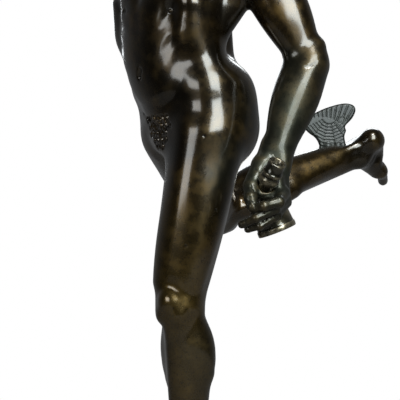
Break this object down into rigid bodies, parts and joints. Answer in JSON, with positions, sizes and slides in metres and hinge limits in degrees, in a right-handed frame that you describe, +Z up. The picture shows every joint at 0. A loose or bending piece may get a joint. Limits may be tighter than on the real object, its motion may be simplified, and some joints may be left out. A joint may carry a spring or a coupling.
{
  "type": "statue",
  "caption": "Dark bronze statue of a striding nude messenger god in a winged hat, with ankle wings, a raised hand and the stub of a staff in the lowered fist, on a low round base.",
  "frame": {"origin": "middle of the socle's underside, where the statue stands", "axes": "+Z up; the picture's view looks along +Y with +X to its right, and the statue faces forwards and to the left of that view"},
  "size_m": [0.3192, 0.3857, 0.8962],
  "materials": {
    "mercury_figure": "cast bronze with a very dark, glossy brown patina that lets warm olive gold through",
    "staff_handle": "cast bronze with a thinner, greyer patina, rubbed on its rings",
    "socle": "cast bronze with the figure's dark brown patina"
  },
  "bodies": {
    "root": {"mercury_figure": "mercury_figure", "staff_handle": "staff_handle", "socle": "socle"}
  },
  "joints": []
}
